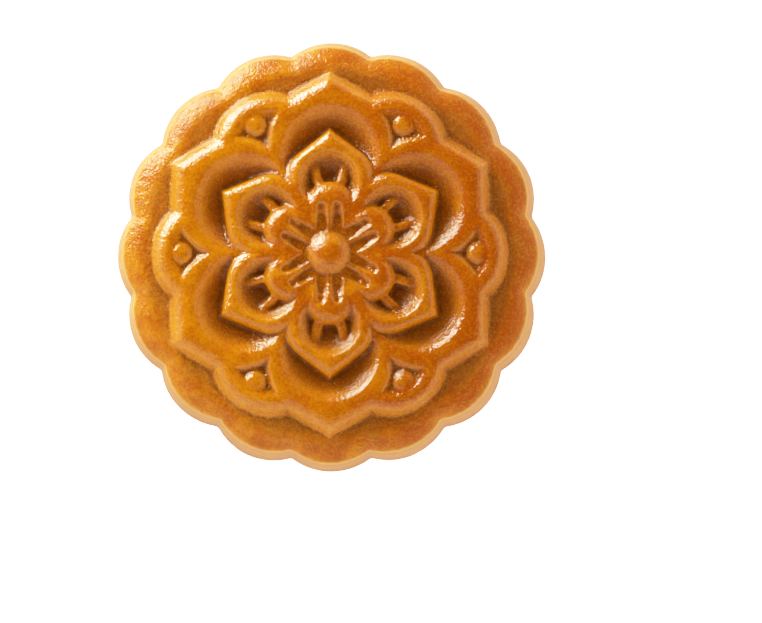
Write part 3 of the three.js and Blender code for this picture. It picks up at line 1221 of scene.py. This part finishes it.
def add_surroundings(look):
    """Lights the crust from the sides. Its glaze mirrors a table, walls and a softbox instead."""
    world = bpy.data.worlds.new("studio")
    bpy.context.scene.world = world
    graph = Graph(world)
    direction = graph.node("ShaderNodeTexCoord", output="Generated")
    table = share_below(graph, direction, look.table_azimuth, look.table_rise, TABLE_SOFTNESS)
    mirrored = graph.mix(table, (look.room_light,) * 3, (look.table_light,) * 3)
    walls = share_below(graph, direction, look.wall_azimuth, look.wall_rise, WALL_SOFTNESS)
    mirrored = graph.mix(walls, mirrored, (look.wall_light,) * 3)
    closeness = graph.agreement(direction, towards(look.key_azimuth, look.softbox_off_axis))
    outer = math.cos(look.softbox_reach * SOFTBOX_OUTER)
    inner = math.cos(look.softbox_reach * SOFTBOX_INNER)
    softbox = graph.ease(closeness, outer, inner)
    mirrored = graph.mix(softbox, mirrored, (look.softbox,) * 3)
    mirrored = graph.stretched(mirrored, look.warmth)
    sideways = graph.ease(graph.part_of(direction, "Z"), *SIDEWAYS)
    on_crust = graph.mix(sideways, (look.room_light,) * 3, (look.side_light,) * 3)
    in_glaze = graph.node("ShaderNodeLightPath", output="Is Glossy Ray")
    shade = graph.mix(in_glaze, on_crust, mirrored)
    seen = graph.node("ShaderNodeLightPath", output="Is Camera Ray")
    shade = graph.mix(seen, shade, (look.backdrop,) * 3)
    background = graph.node("ShaderNodeBackground", {}, {"Color": shade})
    graph.node("ShaderNodeOutputWorld", {}, {"Surface": background})


def set_view(view):
    """Plain colours, with a soft shoulder that keeps the brightest ones from clipping."""
    view.view_transform = "Standard"
    view.use_curve_mapping = True
    mapping = view.curve_mapping
    mapping.white_level = (BRIGHTEST,) * 3
    shared = mapping.curves[3]
    for light, shown in SHOULDER:
        shared.points.new(light / BRIGHTEST, shown)
    for point in shared.points:
        point.handle_type = "VECTOR"
    mapping.update()


class MOONCAKE_OT_stage(Operator):
    """Sets up the floor, the lights and the camera"""
    bl_idname = "mooncake.stage"
    bl_label = "Stage"

    def execute(self, context):
        look = context.scene.mooncake_stage
        set_view(context.scene.view_settings)
        add_floor(look)
        add_surroundings(look)
        add_key_light(look)
        add_camera(look)
        return {"FINISHED"}


class MOONCAKE_PT_panel(Panel):
    """Lists what the cake and its stage are made by"""
    bl_idname = "MOONCAKE_PT_panel"
    bl_label = "Mooncake"
    bl_space_type = "VIEW_3D"
    bl_region_type = "UI"
    bl_category = "Mooncake"

    def draw(self, context):
        for operator, group, _ in STEPS:
            box = self.layout.box()
            box.operator(operator.bl_idname)
            settings = getattr(context.scene, group)
            for name in settings.__annotations__:
                box.prop(settings, name)


STEPS = (
    (MOONCAKE_OT_body, "mooncake_body", MooncakeBodySizes),
    (MOONCAKE_OT_plate, "mooncake_plate", MooncakePlateSizes),
    (MOONCAKE_OT_ring, "mooncake_ring", MooncakeRingSizes),
    (MOONCAKE_OT_flower, "mooncake_flower", MooncakeFlowerSizes),
    (MOONCAKE_OT_crust, "mooncake_crust", MooncakeCrustLook),
    (MOONCAKE_OT_stage, "mooncake_stage", MooncakeStageLook),
)
CLASSES = (
    *(settings for _, _, settings in STEPS),
    *(operator for operator, _, _ in STEPS),
    MOONCAKE_PT_panel,
)


def register():
    for item in CLASSES:
        bpy.utils.register_class(item)
    for _, group, settings in STEPS:
        setattr(bpy.types.Scene, group, PointerProperty(type=settings))


def unregister():
    for _, group, _ in STEPS:
        delattr(bpy.types.Scene, group)
    for item in reversed(CLASSES):
        bpy.utils.unregister_class(item)


def main():
    register()
    bpy.ops.mooncake.body()
    bpy.ops.mooncake.plate()
    bpy.ops.mooncake.ring()
    bpy.ops.mooncake.flower()
    bpy.ops.mooncake.crust()
    bpy.ops.mooncake.stage()


if __name__ == "__main__":
    main()
